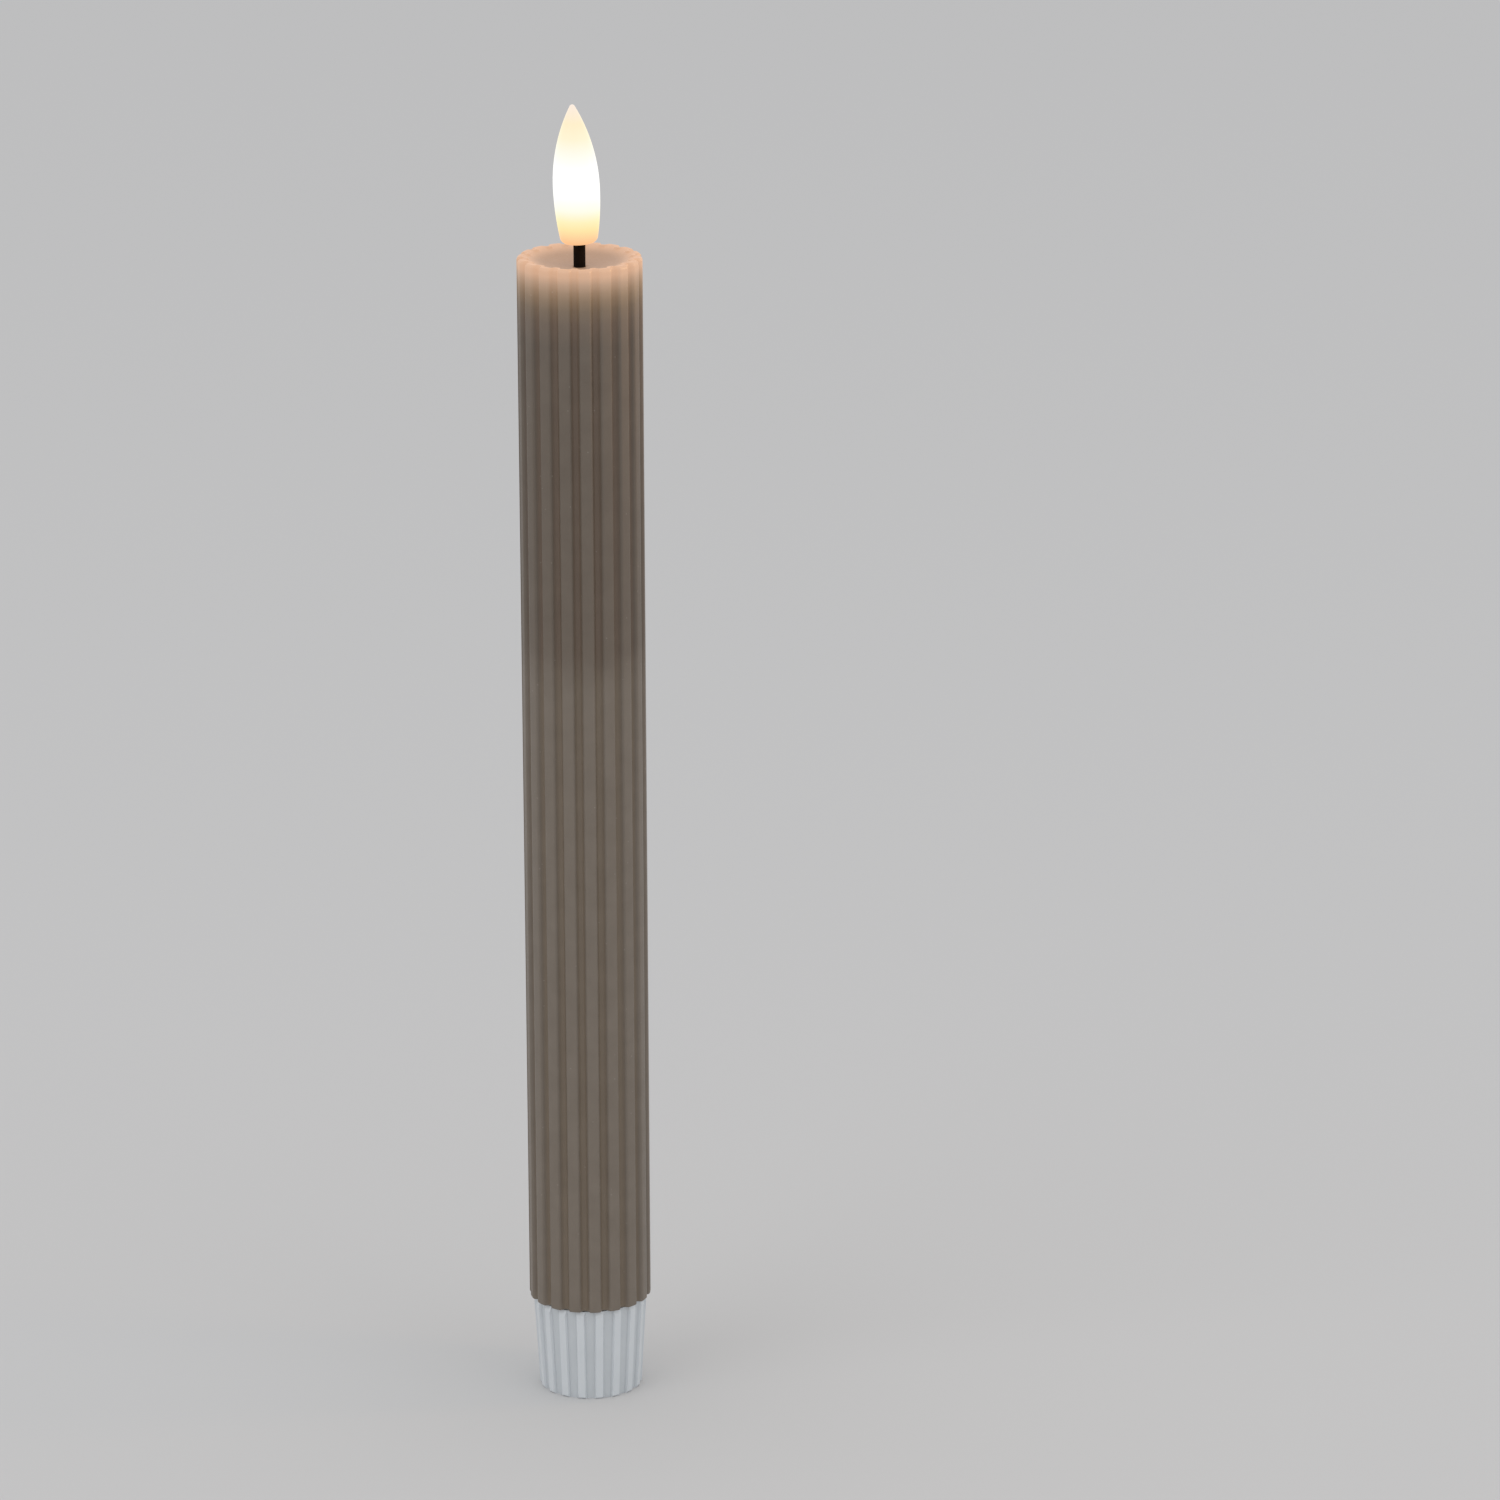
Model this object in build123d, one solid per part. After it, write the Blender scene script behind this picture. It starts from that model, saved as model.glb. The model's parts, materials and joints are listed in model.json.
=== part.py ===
from build123d import *
import os
from math import atan2, cos, degrees, radians, sin, sqrt

# A battery taper candle: fluted wax over a battery tube, a lit flame lens on a wick,
# and a fluted screw cap that closes the battery tube and holds the switch.
# Millimetres. +Z is up, the origin is the centre of the foot, and the switch slides along X.

os.makedirs("parts", exist_ok=True)

FLOOR = (Align.CENTER, Align.CENTER, Align.MIN)

# ---- Clearances -------------------------------------------------------------------------
slip = 0.05                  # radial, between pieces pushed together
running = 0.2                # between the cap and what it turns past

# ---- Battery cells (AAA) ----------------------------------------------------------------
cell_radius = 5.25
cell_length = 44.5
cell_jacket_wall = 0.2
cell_button_radius = 1.9
cell_button_height = 1.0
cell_end_plate = 0.6
cell_names = ["lower", "upper"]

# ---- Screw cap (the candle's base) ------------------------------------------------------
base_height = 17.2
base_wall = 1.4              # between the ribs, at the top
base_draft = 1.0             # the foot is this much smaller in radius than the top
base_rib_count = 18
base_rib_turn = 5.4  # the thread stops the cap a little off the flutes, in degrees
base_rib_height = 0.55
base_rib_crest = 1.2
base_rib_root = 1.9
base_floor = 1.6
foot_chamfer = 0.3
rib_end_slope_height = 1.0   # the ribs' top ends slope in under the wax
rib_end_slope_depth = 0.45
finger_recess_length = 10.0
finger_recess_width = 5.0
finger_recess_depth = 0.6

# ---- Screw thread, two starts -----------------------------------------------------------
thread_starts = 2
thread_lead = 4.0
thread_relief = 0.4          # plain bore above the thread
thread_depth = 0.8
thread_root_width = 0.9
thread_crest_width = 0.5
thread_overlap = 0.55        # how far the cap's thread reaches past the neck's crest
thread_bite = 0.3            # how far a ridge is sunk into its wall
neck_tip = 1.0               # plain neck below the thread

# ---- Battery tube -----------------------------------------------------------------------
cell_play = 0.35             # radial, between a cell and the tube
neck_wall = 1.6
tube_wall = 2.4
carrier_ledge = 0.3          # step in the bore that the carrier sits on
lid_thickness = 1.5
lid_skirt_height = 4.0
lid_skirt_wall = 1.0
lid_web = 0.5                # ledge under the wick sleeve

# ---- Wax --------------------------------------------------------------------------------
flute_count = 18
wax_wall = 3.0               # from the battery tube to the ribs' tops
wax_over_lid = 0.2
wax_length = 193.4
flute_depth = 0.9
flute_width = 2.1
flute_shoulder = 0.3
rim_rounding = 0.6
wax_foot_rounding = 0.3
dish_radius = 9.7
dish_depth = 1.9

# ---- Wick and flame ---------------------------------------------------------------------
wick_radius = 1.05
wick_wall = 0.3
wick_socket_depth = 1.5      # into the lens plug
wick_play = 0.1
wick_shown = 4.3             # from the dish up to the lens
flame_lean = 2.4             # degrees, to -X
flame_height = 24.5
flame_radius = 4.08
flame_widest = 9.7           # above the lens's foot
flame_tip_radius = 0.5
flame_foot_radius = 3.15
flame_foot_rounding = 1.2
flame_wall = 0.8
plug_wall = 0.55
plug_head_step = 0.25
plug_height = 3.0
lamp_radius = 1.5
lamp_flange_radius = 1.6
lamp_flange_height = 0.8
lamp_height = 5.3
lead_radius = 0.2
wire_play = 0.07
wire_bend = 1.0
wire_landing = 4.0           # along the board's face

# ---- Circuit board and contacts ---------------------------------------------------------
carrier_height = 4.2
contact_radius = 4.0
contact_thickness = 0.3
contact_gap = 0.05
contact_tab_width = 2.4
contact_tab_rise = 1.5       # above the carrier
board_edge_gap = 0.6         # from the board's edge to the chamber's wall
board_shown = 29.95          # board between the carrier and the lid's skirt
board_thickness = 1.0
board_socket_depth = 2.6     # into the carrier
board_lid_depth = 2.0        # into the lid's skirt
slot_play = 0.1
strip_thickness = 0.25
strip_width = 3.0
strip_inset = 0.25           # the return strip's face, back from the bore
strip_rise = 8.0             # above the carrier's seat
strip_drop = 0.75            # spring finger below the neck's end
strip_play = 0.2
chip_length = 4.9
chip_width = 3.9
chip_height = 1.5
chip_lead_pitch = 1.27
chip_lead_reach = 1.0
chip_rise = 14.0             # above the board's lower edge
resistor_size = (2.0, 0.6, 1.25)
capacitor_size = (3.2, 1.3, 1.6)

# ---- Switch board and spring ------------------------------------------------------------
switch_board_overhang = 0.3  # past the neck's wall
switch_board_thickness = 1.0
contact_ring_width = 1.0
contact_ring_thickness = 0.3
cavity_play = 0.15
spring_wire_radius = 0.3
spring_fitted_length = 4.7
spring_room = 0.3            # between the wide end and the screw heads
spring_top_radius = 2.3
spring_turns = 3.5
spring_wire_sides = 12       # the wire's round section is drawn with this many flats
spring_gap = 0.1
screw_radius = 0.75
screw_head_radius = 1.2
screw_head_height = 0.6
screw_length = 4.0
screw_boss_radius = 1.7
screw_room = 0.1             # between a screw head and the contact ring
screw_play = 0.03

# ---- Slide switch -----------------------------------------------------------------------
switch_length = 8.6
switch_width = 3.6
switch_height = 3.5
switch_shell_wall = 0.3
switch_base_height = 0.9
switch_seat_gap = 0.1
switch_travel = 2.0
slider_length = 4.0
slider_height = 1.2
slider_play = 0.1
knob_length = 2.0
knob_width = 1.5
knob_above_foot = 0.3
pin_pitch = 2.5
pin_size = (0.5, 0.3)
pin_stub = 0.6
wiper_size = (3.2, 1.2, 0.4)

# ---- Worked out from the sizes above, from the cells outwards ---------------------------
tube_bore = cell_radius + cell_play
neck_radius = tube_bore + neck_wall
tube_radius = tube_bore + tube_wall
chamber_radius = tube_bore + carrier_ledge
strip_radius = tube_bore + strip_inset
board_half_width = chamber_radius - board_edge_gap
contact_tab_place = (board_thickness + contact_thickness) / 2
wax_radius = tube_radius + wax_wall
flute_bottom = wax_radius - flute_depth

thread_crest = neck_radius + thread_depth
cap_thread_crest = thread_crest - thread_overlap
cap_bore = cap_thread_crest + thread_depth + slip
collar_radius = cap_bore + base_wall + base_rib_height
foot_radius = collar_radius - base_draft

switch_board_radius = neck_radius + switch_board_overhang
cap_cavity_radius = switch_board_radius + cavity_play
ring_inner = switch_board_radius - contact_ring_width
screw_circle_radius = ring_inner - screw_room - screw_head_radius
spring_base_radius = screw_circle_radius - screw_head_radius - spring_room - spring_wire_radius

wick_bore_radius = wick_radius - wick_wall
wire_radius = wick_bore_radius / 2 - wire_play
lead_spacing = 2 * (wire_radius + wire_play)
plug_radius = wick_radius + wick_play + plug_wall
plug_head_radius = plug_radius + plug_head_step

# ---- Heights, from the foot upwards -----------------------------------------------------
switch_foot = base_floor + switch_seat_gap
switch_top = switch_foot + switch_height
switch_board_foot = switch_top + switch_seat_gap
switch_board_top = switch_board_foot + switch_board_thickness
ring_top = switch_board_top + contact_ring_thickness
screw_head_top = switch_board_top + screw_head_height
strip_foot = ring_top + contact_gap
neck_foot = strip_foot + strip_drop
thread_foot = neck_foot + neck_tip
thread_length = base_height - thread_foot - thread_relief
wax_foot = base_height + running

cells_foot = switch_board_top + spring_fitted_length
cells_top = cells_foot + len(cell_names) * cell_length
carrier_seat = cells_top + contact_gap + contact_thickness
carrier_top = carrier_seat + carrier_height
board_foot = carrier_top - board_socket_depth
lid_skirt_foot = carrier_top + board_shown
board_top = lid_skirt_foot + board_lid_depth
tube_top = lid_skirt_foot + lid_skirt_height
lid_top = tube_top + lid_thickness

wax_rim = wax_foot + wax_length
dish_floor = wax_rim - dish_depth
flame_foot = dish_floor + wick_shown
wick_foot = tube_top + lid_web
wick_top = flame_foot + wick_socket_depth - wick_play
knob_on = switch_travel / 2


def ring(outer, inner, height, foot=0.0):
    body = Cylinder(outer, height, align=FLOOR)
    body -= Cylinder(inner, height, align=FLOOR)
    return Pos(0, 0, foot) * body


def rod(radius, height, foot=0.0, x=0.0, y=0.0):
    return Pos(x, y, foot) * Cylinder(radius, height, align=FLOOR)


def block(length, width, height, x=0.0, y=0.0, foot=0.0):
    return Pos(x, y, foot) * Box(length, width, height, align=FLOOR)


def turned(points):
    face = make_face(Plane.XZ * Polyline(*points, close=True))
    return revolve(face, Axis.Z)


def around(shape, count, start=0.0):
    return [Rot(0, 0, start + 360 * i / count) * shape for i in range(count)]


# ---- Wax --------------------------------------------------------------------------------
def fluted_outline():
    # A flute is a round groove, and the ribs between the flutes keep the outer circle.
    groove_radius = (flute_width**2 / 4 + flute_depth**2) / (2 * flute_depth)
    groove = Pos(flute_bottom + groove_radius, 0) * Circle(groove_radius)
    outline = Circle(wax_radius)
    for cut in around(groove, flute_count, 180 / flute_count):
        outline -= cut
    shoulder = min(flute_shoulder, flute_depth / 3)
    return fillet(outline.vertices(), shoulder)


def make_wax_body():
    fluted = extrude(fluted_outline(), wax_length)
    envelope = Cylinder(wax_radius, wax_length, align=FLOOR)
    envelope = fillet(envelope.edges().sort_by(Axis.Z)[-1:], rim_rounding)
    envelope = fillet(envelope.edges().sort_by(Axis.Z)[:1], wax_foot_rounding)
    body = Pos(0, 0, wax_foot) * (fluted & envelope)
    dish_sphere = (dish_radius**2 + dish_depth**2) / (2 * dish_depth)
    body -= Pos(0, 0, dish_floor + dish_sphere) * Sphere(dish_sphere)
    body -= rod(tube_radius + slip, lid_top + wax_over_lid - wax_foot, wax_foot)
    body -= rod(wick_radius + slip, wax_rim - lid_top, lid_top)
    return body


# ---- Battery tube and its lid -----------------------------------------------------------
def thread_ridge(wall_radius, crest_radius):
    # A trapezoid swept along a helix, sunk into its wall by thread_bite.
    into_wall = -thread_bite if crest_radius > wall_radius else thread_bite
    reach = crest_radius - wall_radius
    half_root = thread_root_width / 2
    half_crest = thread_crest_width / 2
    path = Helix(pitch=thread_lead, height=thread_length, radius=wall_radius)
    outline = Polyline(
        (into_wall, -half_root),
        (0, -half_root),
        (reach, -half_crest),
        (reach, half_crest),
        (0, half_root),
        (into_wall, half_root),
        close=True,
    )
    section = Plane(origin=path @ 0, x_dir=(1, 0, 0), z_dir=path % 0) * make_face(outline)
    return sweep(section, path=path, is_frenet=True)


def make_battery_tube():
    tube = rod(neck_radius, wax_foot - neck_foot, neck_foot)
    tube += rod(tube_radius, tube_top - wax_foot, wax_foot)
    ridge = Pos(0, 0, thread_foot) * thread_ridge(neck_radius, thread_crest)
    for start in around(ridge, thread_starts):
        tube += start
    tube -= rod(tube_bore, carrier_seat - neck_foot, neck_foot)
    tube -= rod(chamber_radius, tube_top - carrier_seat, carrier_seat)
    groove_depth = strip_radius + strip_thickness + slip
    groove_height = carrier_seat + strip_rise + strip_play - neck_foot
    tube -= block(groove_depth, strip_width + 2 * strip_play, groove_height, groove_depth / 2, 0, neck_foot)
    return tube


def make_tube_lid():
    skirt_radius = chamber_radius - slip
    skirt = ring(skirt_radius, skirt_radius - lid_skirt_wall, lid_skirt_height, lid_skirt_foot)
    lid = skirt + rod(tube_radius, lid_thickness, tube_top)
    slot_width = board_thickness + 2 * slot_play
    slot_height = board_lid_depth + slot_play
    lid -= block(2 * (board_half_width + slot_play), slot_width, slot_height, 0, 0, lid_skirt_foot)
    lid -= rod(wick_radius + slip, lid_top - wick_foot, wick_foot)
    lid -= rod(wick_bore_radius, lid_web, tube_top)
    return lid


# ---- Wick and flame ---------------------------------------------------------------------
def make_wick_sleeve():
    return ring(wick_radius, wick_bore_radius, wick_top - wick_foot, wick_foot)


def leaned(shape):
    # The flame stands a little off upright, about the middle of its foot.
    return Pos(0, 0, flame_foot) * Rot(0, -flame_lean, 0) * shape


def flame_shape(height, radius, widest, tip_radius, foot_radius, rounding, foot=0.0):
    # Half outline: a foot with a round corner, one arc out to the widest place, one arc in
    # to the tip, and a small round tip. The two side arcs are upright at the widest place.
    reach = height - tip_radius - widest
    upper = (radius**2 + reach**2 - tip_radius**2) / (2 * (radius - tip_radius))
    tilt = degrees(atan2(reach, upper - radius))
    tip_centre = (0, foot + height - tip_radius)
    tip_start = (tip_radius * cos(radians(tilt)), tip_centre[1] + tip_radius * sin(radians(tilt)))
    side = foot + widest
    half = radians(tilt / 2)
    upper_middle = (radius - upper * (1 - cos(half)), side + upper * sin(half))
    lower = (widest**2 + (radius - foot_radius) ** 2) / (2 * (radius - foot_radius))
    drop = widest / 2
    lower_middle = (radius - lower + sqrt(lower**2 - drop**2), side - drop)
    outline = Line((0, foot), (foot_radius, foot))
    outline += ThreePointArc((foot_radius, foot), lower_middle, (radius, side))
    outline += ThreePointArc((radius, side), upper_middle, tip_start)
    near_tip = radians((90 + tilt) / 2)
    tip_middle = (tip_radius * cos(near_tip), tip_centre[1] + tip_radius * sin(near_tip))
    outline += ThreePointArc(tip_start, tip_middle, (0, foot + height))
    outline += Line((0, foot + height), (0, foot))
    face = make_face(outline)
    corner = face.vertices().sort_by(Axis.Y)[:2].sort_by(Axis.X)[-1]
    face = fillet(corner, rounding)
    return revolve(Plane.XZ * face, Axis.Z)


def make_flame_lens():
    lens = flame_shape(
        flame_height, flame_radius, flame_widest, flame_tip_radius, flame_foot_radius, flame_foot_rounding
    )
    lens -= flame_shape(
        flame_height - 2.5 * flame_wall,
        flame_radius - flame_wall,
        flame_widest - flame_wall,
        flame_tip_radius,
        flame_foot_radius - flame_wall,
        flame_foot_rounding - flame_wall,
        flame_wall,
    )
    lens -= rod(plug_radius + slip, flame_wall)
    return leaned(lens)


def make_lens_plug():
    plug = rod(plug_radius, plug_height)
    plug += rod(plug_head_radius, plug_height - flame_wall - slip, flame_wall + slip)
    plug -= rod(wick_radius + wick_play, wick_socket_depth)
    for side in (-1, 1):
        plug -= rod(lead_radius + slip, plug_height, 0, 0, side * lead_spacing / 2)
    return leaned(plug)


def make_led_lamp():
    lamp = rod(lamp_radius, lamp_height - lamp_radius, plug_height)
    lamp += rod(lamp_flange_radius, lamp_flange_height, plug_height)
    lamp += Pos(0, 0, plug_height + lamp_height - lamp_radius) * Sphere(lamp_radius)
    return leaned(lamp)


def make_led_legs():
    height = plug_height - wick_socket_depth / 2
    legs = [
        rod(lead_radius, height, wick_socket_depth / 2, 0, side * lead_spacing / 2)
        for side in (-1, 1)
    ]
    return leaned(Compound(children=legs))


def make_led_wire(side):
    top = flame_foot + wick_socket_depth / 2 - slip
    inner = side * lead_spacing / 2
    outer = side * (board_thickness / 2 + wire_radius + slip)
    path = FilletPolyline(
        (0, inner, top),
        (0, inner, tube_top - wire_radius),
        (0, outer, board_top + wire_radius),
        (0, outer, board_top - wire_landing),
        radius=wire_bend,
    )
    section = Plane(origin=path @ 0, z_dir=path % 0) * Circle(wire_radius)
    return sweep(section, path=path)


# ---- Circuit board, its carrier and the contacts ----------------------------------------
def make_board_carrier():
    carrier = rod(chamber_radius - slip, carrier_height, carrier_seat)
    slot_width = board_thickness + 2 * slot_play
    slot_height = board_socket_depth + slot_play
    carrier -= block(2 * chamber_radius, slot_width, slot_height, 0, 0, board_foot - slot_play)
    tab_length = contact_tab_width + 2 * slot_play
    tab_width = contact_thickness + 2 * slot_play
    carrier -= block(tab_length, tab_width, carrier_height, 0, contact_tab_place, carrier_seat)
    reach = chamber_radius - strip_radius + 2 * strip_play
    place = chamber_radius - reach / 2
    carrier -= block(reach, strip_width + 2 * strip_play, carrier_height, place, 0, carrier_seat)
    return carrier


def make_positive_contact():
    plate = rod(contact_radius, contact_thickness, cells_top + contact_gap)
    foot = cells_top + contact_gap
    height = carrier_top + contact_tab_rise - foot
    plate += block(contact_tab_width, contact_thickness, height, 0, contact_tab_place, foot)
    return plate


def make_return_strip():
    # Up the groove in the tube's wall, with a tab to the board and a finger to the ring.
    top = carrier_seat + strip_rise
    middle = strip_radius + strip_thickness / 2
    strip = block(strip_thickness, strip_width, top - strip_foot, middle, 0, strip_foot)
    tab = strip_radius - board_half_width
    strip += block(tab, strip_width, strip_thickness, board_half_width + tab / 2, 0, top - strip_thickness)
    finger = ring_inner + contact_ring_width * 0.7 - strip_radius
    strip += block(finger, strip_width, strip_thickness, strip_radius + finger / 2, 0, strip_foot)
    return strip


def make_circuit_board():
    return block(2 * board_half_width, board_thickness, board_top - board_foot, 0, 0, board_foot)


def board_part(size, x, rise):
    # A part on the board's front face: size is length, height off the board, width.
    length, height, width = size
    return block(length, height, width, x, -(board_thickness + height) / 2, board_foot + rise)


def make_controller_chip():
    return board_part((chip_length, chip_height, chip_width), 0, chip_rise)


def make_chip_leads():
    leads = []
    lead = (0.4, 0.25, chip_lead_reach)
    for i in range(4):
        x = (i - 1.5) * chip_lead_pitch
        leads.append(board_part(lead, x, chip_rise - chip_lead_reach))
        leads.append(board_part(lead, x, chip_rise + chip_width))
    return Compound(children=leads)


# ---- Cells ------------------------------------------------------------------------------
def make_cell_can(foot):
    top = foot + cell_length - cell_button_height
    can_radius = cell_radius - cell_jacket_wall - slip
    can = rod(can_radius, top - foot - cell_end_plate, foot + cell_end_plate)
    can = fillet(can.edges().sort_by(Axis.Z)[-1:], 0.6)
    button = rod(cell_button_radius, cell_button_height, top)
    return can + fillet(button.edges().sort_by(Axis.Z)[-1:], 0.3)


def make_cell_jacket(foot):
    height = cell_length - cell_button_height - cell_end_plate
    return ring(cell_radius, cell_radius - cell_jacket_wall, height, foot + cell_end_plate / 2)


def make_cell_negative_cap(foot):
    cap = rod(cell_radius - 2 * cell_jacket_wall, cell_end_plate * 0.6, foot + cell_end_plate * 0.4)
    return cap + rod(cell_radius - 1.8, cell_end_plate * 0.4, foot)


# ---- Screw cap --------------------------------------------------------------------------
def cap_radius_at(height):
    return foot_radius + (collar_radius - foot_radius) * height / base_height


def base_rib():
    # One rib of the cap, a bar that leans out with the cap's side.
    ends = []
    for height in (0, base_height):
        crest = cap_radius_at(height)
        root = crest - base_rib_height - 0.3
        outline = Polyline(
            (root, -base_rib_root / 2),
            (crest + 0.1, -base_rib_crest / 2),
            (crest + 0.1, base_rib_crest / 2),
            (root, base_rib_root / 2),
            close=True,
        )
        ends.append(Pos(0, 0, height) * make_face(outline))
    return loft(ends, ruled=True)


def make_base_cap():
    root = base_rib_height
    cap = turned([(0, 0), (foot_radius - root, 0), (collar_radius - root, base_height), (0, base_height)])
    for rib in around(base_rib(), base_rib_count, 180 / base_rib_count - base_rib_turn):
        cap += rib
    slope_start = base_height - rib_end_slope_height
    cap &= turned([
        (0, 0),
        (foot_radius - foot_chamfer, 0),
        (cap_radius_at(foot_chamfer), foot_chamfer),
        (cap_radius_at(slope_start), slope_start),
        (collar_radius - rib_end_slope_depth, base_height),
        (0, base_height),
    ])
    cap -= rod(cap_cavity_radius, base_height - base_floor, base_floor)
    cap -= rod(cap_bore, base_height - ring_top, ring_top)
    for x, y in ((0, screw_circle_radius), (0, -screw_circle_radius)):
        cap += rod(screw_boss_radius, switch_board_foot - base_floor, base_floor, x, y)
        cap -= rod(screw_radius + screw_play, screw_length, switch_board_foot - screw_length + 0.8, x, y)
    recess = extrude(SlotOverall(finger_recess_length, finger_recess_width), finger_recess_depth)
    cap -= recess
    slot_length = knob_length + switch_travel + 2 * running
    cap -= block(slot_length, knob_width + 2 * running, base_floor)
    ridge = Pos(0, 0, thread_foot) * thread_ridge(cap_bore, cap_thread_crest)
    half_pitch_turn = 180 / thread_starts
    for start in around(ridge, thread_starts, half_pitch_turn):
        cap += start
    return cap


def make_switch_board():
    board = rod(switch_board_radius, switch_board_thickness, switch_board_foot)
    for y in (-screw_circle_radius, screw_circle_radius):
        board -= rod(screw_radius + slip, switch_board_thickness, switch_board_foot, 0, y)
    for i in (-1, 0, 1):
        board -= rod(pin_size[0] * 0.7, switch_board_thickness, switch_board_foot, i * pin_pitch)
    return board


def make_board_screws():
    screws = []
    for y in (-screw_circle_radius, screw_circle_radius):
        screw = rod(screw_radius, screw_length, switch_board_top - screw_length, 0, y)
        screw += rod(screw_head_radius, screw_head_height, switch_board_top, 0, y)
        for length, width in ((1.4, 0.3), (0.3, 1.4)):
            screw -= block(length, width, screw_head_height / 2, 0, y, screw_head_top - screw_head_height / 2)
        screws.append(screw)
    return Compound(children=screws)


def make_negative_spring():
    # A conical coil, wide on the board and narrow under the lower cell.
    foot = switch_board_top + spring_wire_radius
    height = cells_foot - spring_gap - spring_wire_radius - foot
    angle = degrees(atan2(spring_base_radius - spring_top_radius, height))
    path = Helix(pitch=height / spring_turns, height=height, radius=spring_base_radius, cone_angle=-angle)
    wire = RegularPolygon(spring_wire_radius, spring_wire_sides)
    section = Plane(origin=path @ 0, x_dir=(1, 0, 0), z_dir=path % 0) * wire
    return Pos(0, 0, foot) * sweep(section, path=path, is_frenet=True)


# ---- Slide switch -----------------------------------------------------------------------
def make_switch_shell():
    height = switch_height - switch_base_height
    wall = switch_shell_wall
    shell = block(switch_length, switch_width, height, 0, 0, switch_foot)
    inner_length = switch_length - 2 * wall
    shell -= block(inner_length, switch_width - 2 * wall, height - wall, 0, 0, switch_foot + wall)
    slot_length = knob_length + switch_travel + 2 * slider_play
    shell -= block(slot_length, knob_width + 2 * slider_play, wall, 0, 0, switch_foot)
    return shell


def make_switch_base():
    foot = switch_top - switch_base_height
    base = block(switch_length, switch_width, switch_base_height, 0, 0, foot)
    for i in (-1, 0, 1):
        base -= block(pin_size[0] + slip, pin_size[1] + slip, switch_base_height, i * pin_pitch, 0, foot)
    return base


def make_switch_pins():
    foot = switch_top - switch_base_height - 0.2
    height = switch_board_top + pin_stub - foot
    pins = [block(pin_size[0], pin_size[1], height, i * pin_pitch, 0, foot) for i in (-1, 0, 1)]
    return Compound(children=pins)


def make_switch_knob():
    slider_foot = switch_foot + switch_shell_wall + slider_play
    slider_width = switch_width - 2 * (switch_shell_wall + slider_play)
    knob = block(slider_length, slider_width, slider_height, knob_on, 0, slider_foot)
    stem_height = slider_foot - knob_above_foot
    knob += block(knob_length, knob_width, stem_height, knob_on, 0, knob_above_foot)
    grip = 0.2
    for i in (-1, 0, 1):
        knob -= block(grip, knob_width, grip, knob_on + i * 2.5 * grip, 0, knob_above_foot)
    return knob


def make_switch_wiper():
    foot = switch_foot + switch_shell_wall + slider_play + slider_height
    room = switch_top - switch_base_height - 0.2 - slider_play - foot
    length, width, height = wiper_size
    return block(length, width, min(height, room), knob_on, 0, foot)


def save(name, shape):
    shape.label = name
    export_step(shape, "parts/" + name + ".step")


save("wax_body", make_wax_body())
save("battery_tube", make_battery_tube())
save("tube_lid", make_tube_lid())
save("wick_sleeve", make_wick_sleeve())
save("flame_lens", make_flame_lens())
save("lens_plug", make_lens_plug())
save("led_lamp", make_led_lamp())
save("led_legs", make_led_legs())
save("led_wire_positive", make_led_wire(-1))
save("led_wire_negative", make_led_wire(1))
save("board_carrier", make_board_carrier())
save("positive_contact", make_positive_contact())
save("return_strip", make_return_strip())
save("circuit_board", make_circuit_board())
save("controller_chip", make_controller_chip())
save("chip_leads", make_chip_leads())
save("led_resistor", board_part(resistor_size, 2.5, chip_rise + 7.5))
save("supply_capacitor", board_part(capacitor_size, -1.8, chip_rise - 5.5))
for number, cell in enumerate(cell_names):
    cell_foot = cells_foot + number * cell_length
    save(cell + "_cell_can", make_cell_can(cell_foot))
    save(cell + "_cell_jacket", make_cell_jacket(cell_foot))
    save(cell + "_cell_negative_cap", make_cell_negative_cap(cell_foot))
save("base_cap", make_base_cap())
save("negative_spring", make_negative_spring())
save("switch_board", make_switch_board())
save("contact_ring", ring(switch_board_radius, ring_inner, contact_ring_thickness, switch_board_top))
save("board_screws", make_board_screws())
save("switch_shell", make_switch_shell())
save("switch_base", make_switch_base())
save("switch_pins", make_switch_pins())
save("switch_wiper", make_switch_wiper())
save("switch_knob", make_switch_knob())
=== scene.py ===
# %% [markdown]
# # A battery taper candle, lit
# The real candle is a fluted tube of taupe wax over a white battery tube, with a milky plastic
# flame on a black wick and a fluted white screw cap for a foot. The frame holds every part at its
# true size, so this lesson gives the parts their finish and shapes the wax anew.

# %% Load the frame
import json
import math

import bmesh
import bpy
from mathutils import Matrix, Vector


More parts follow.
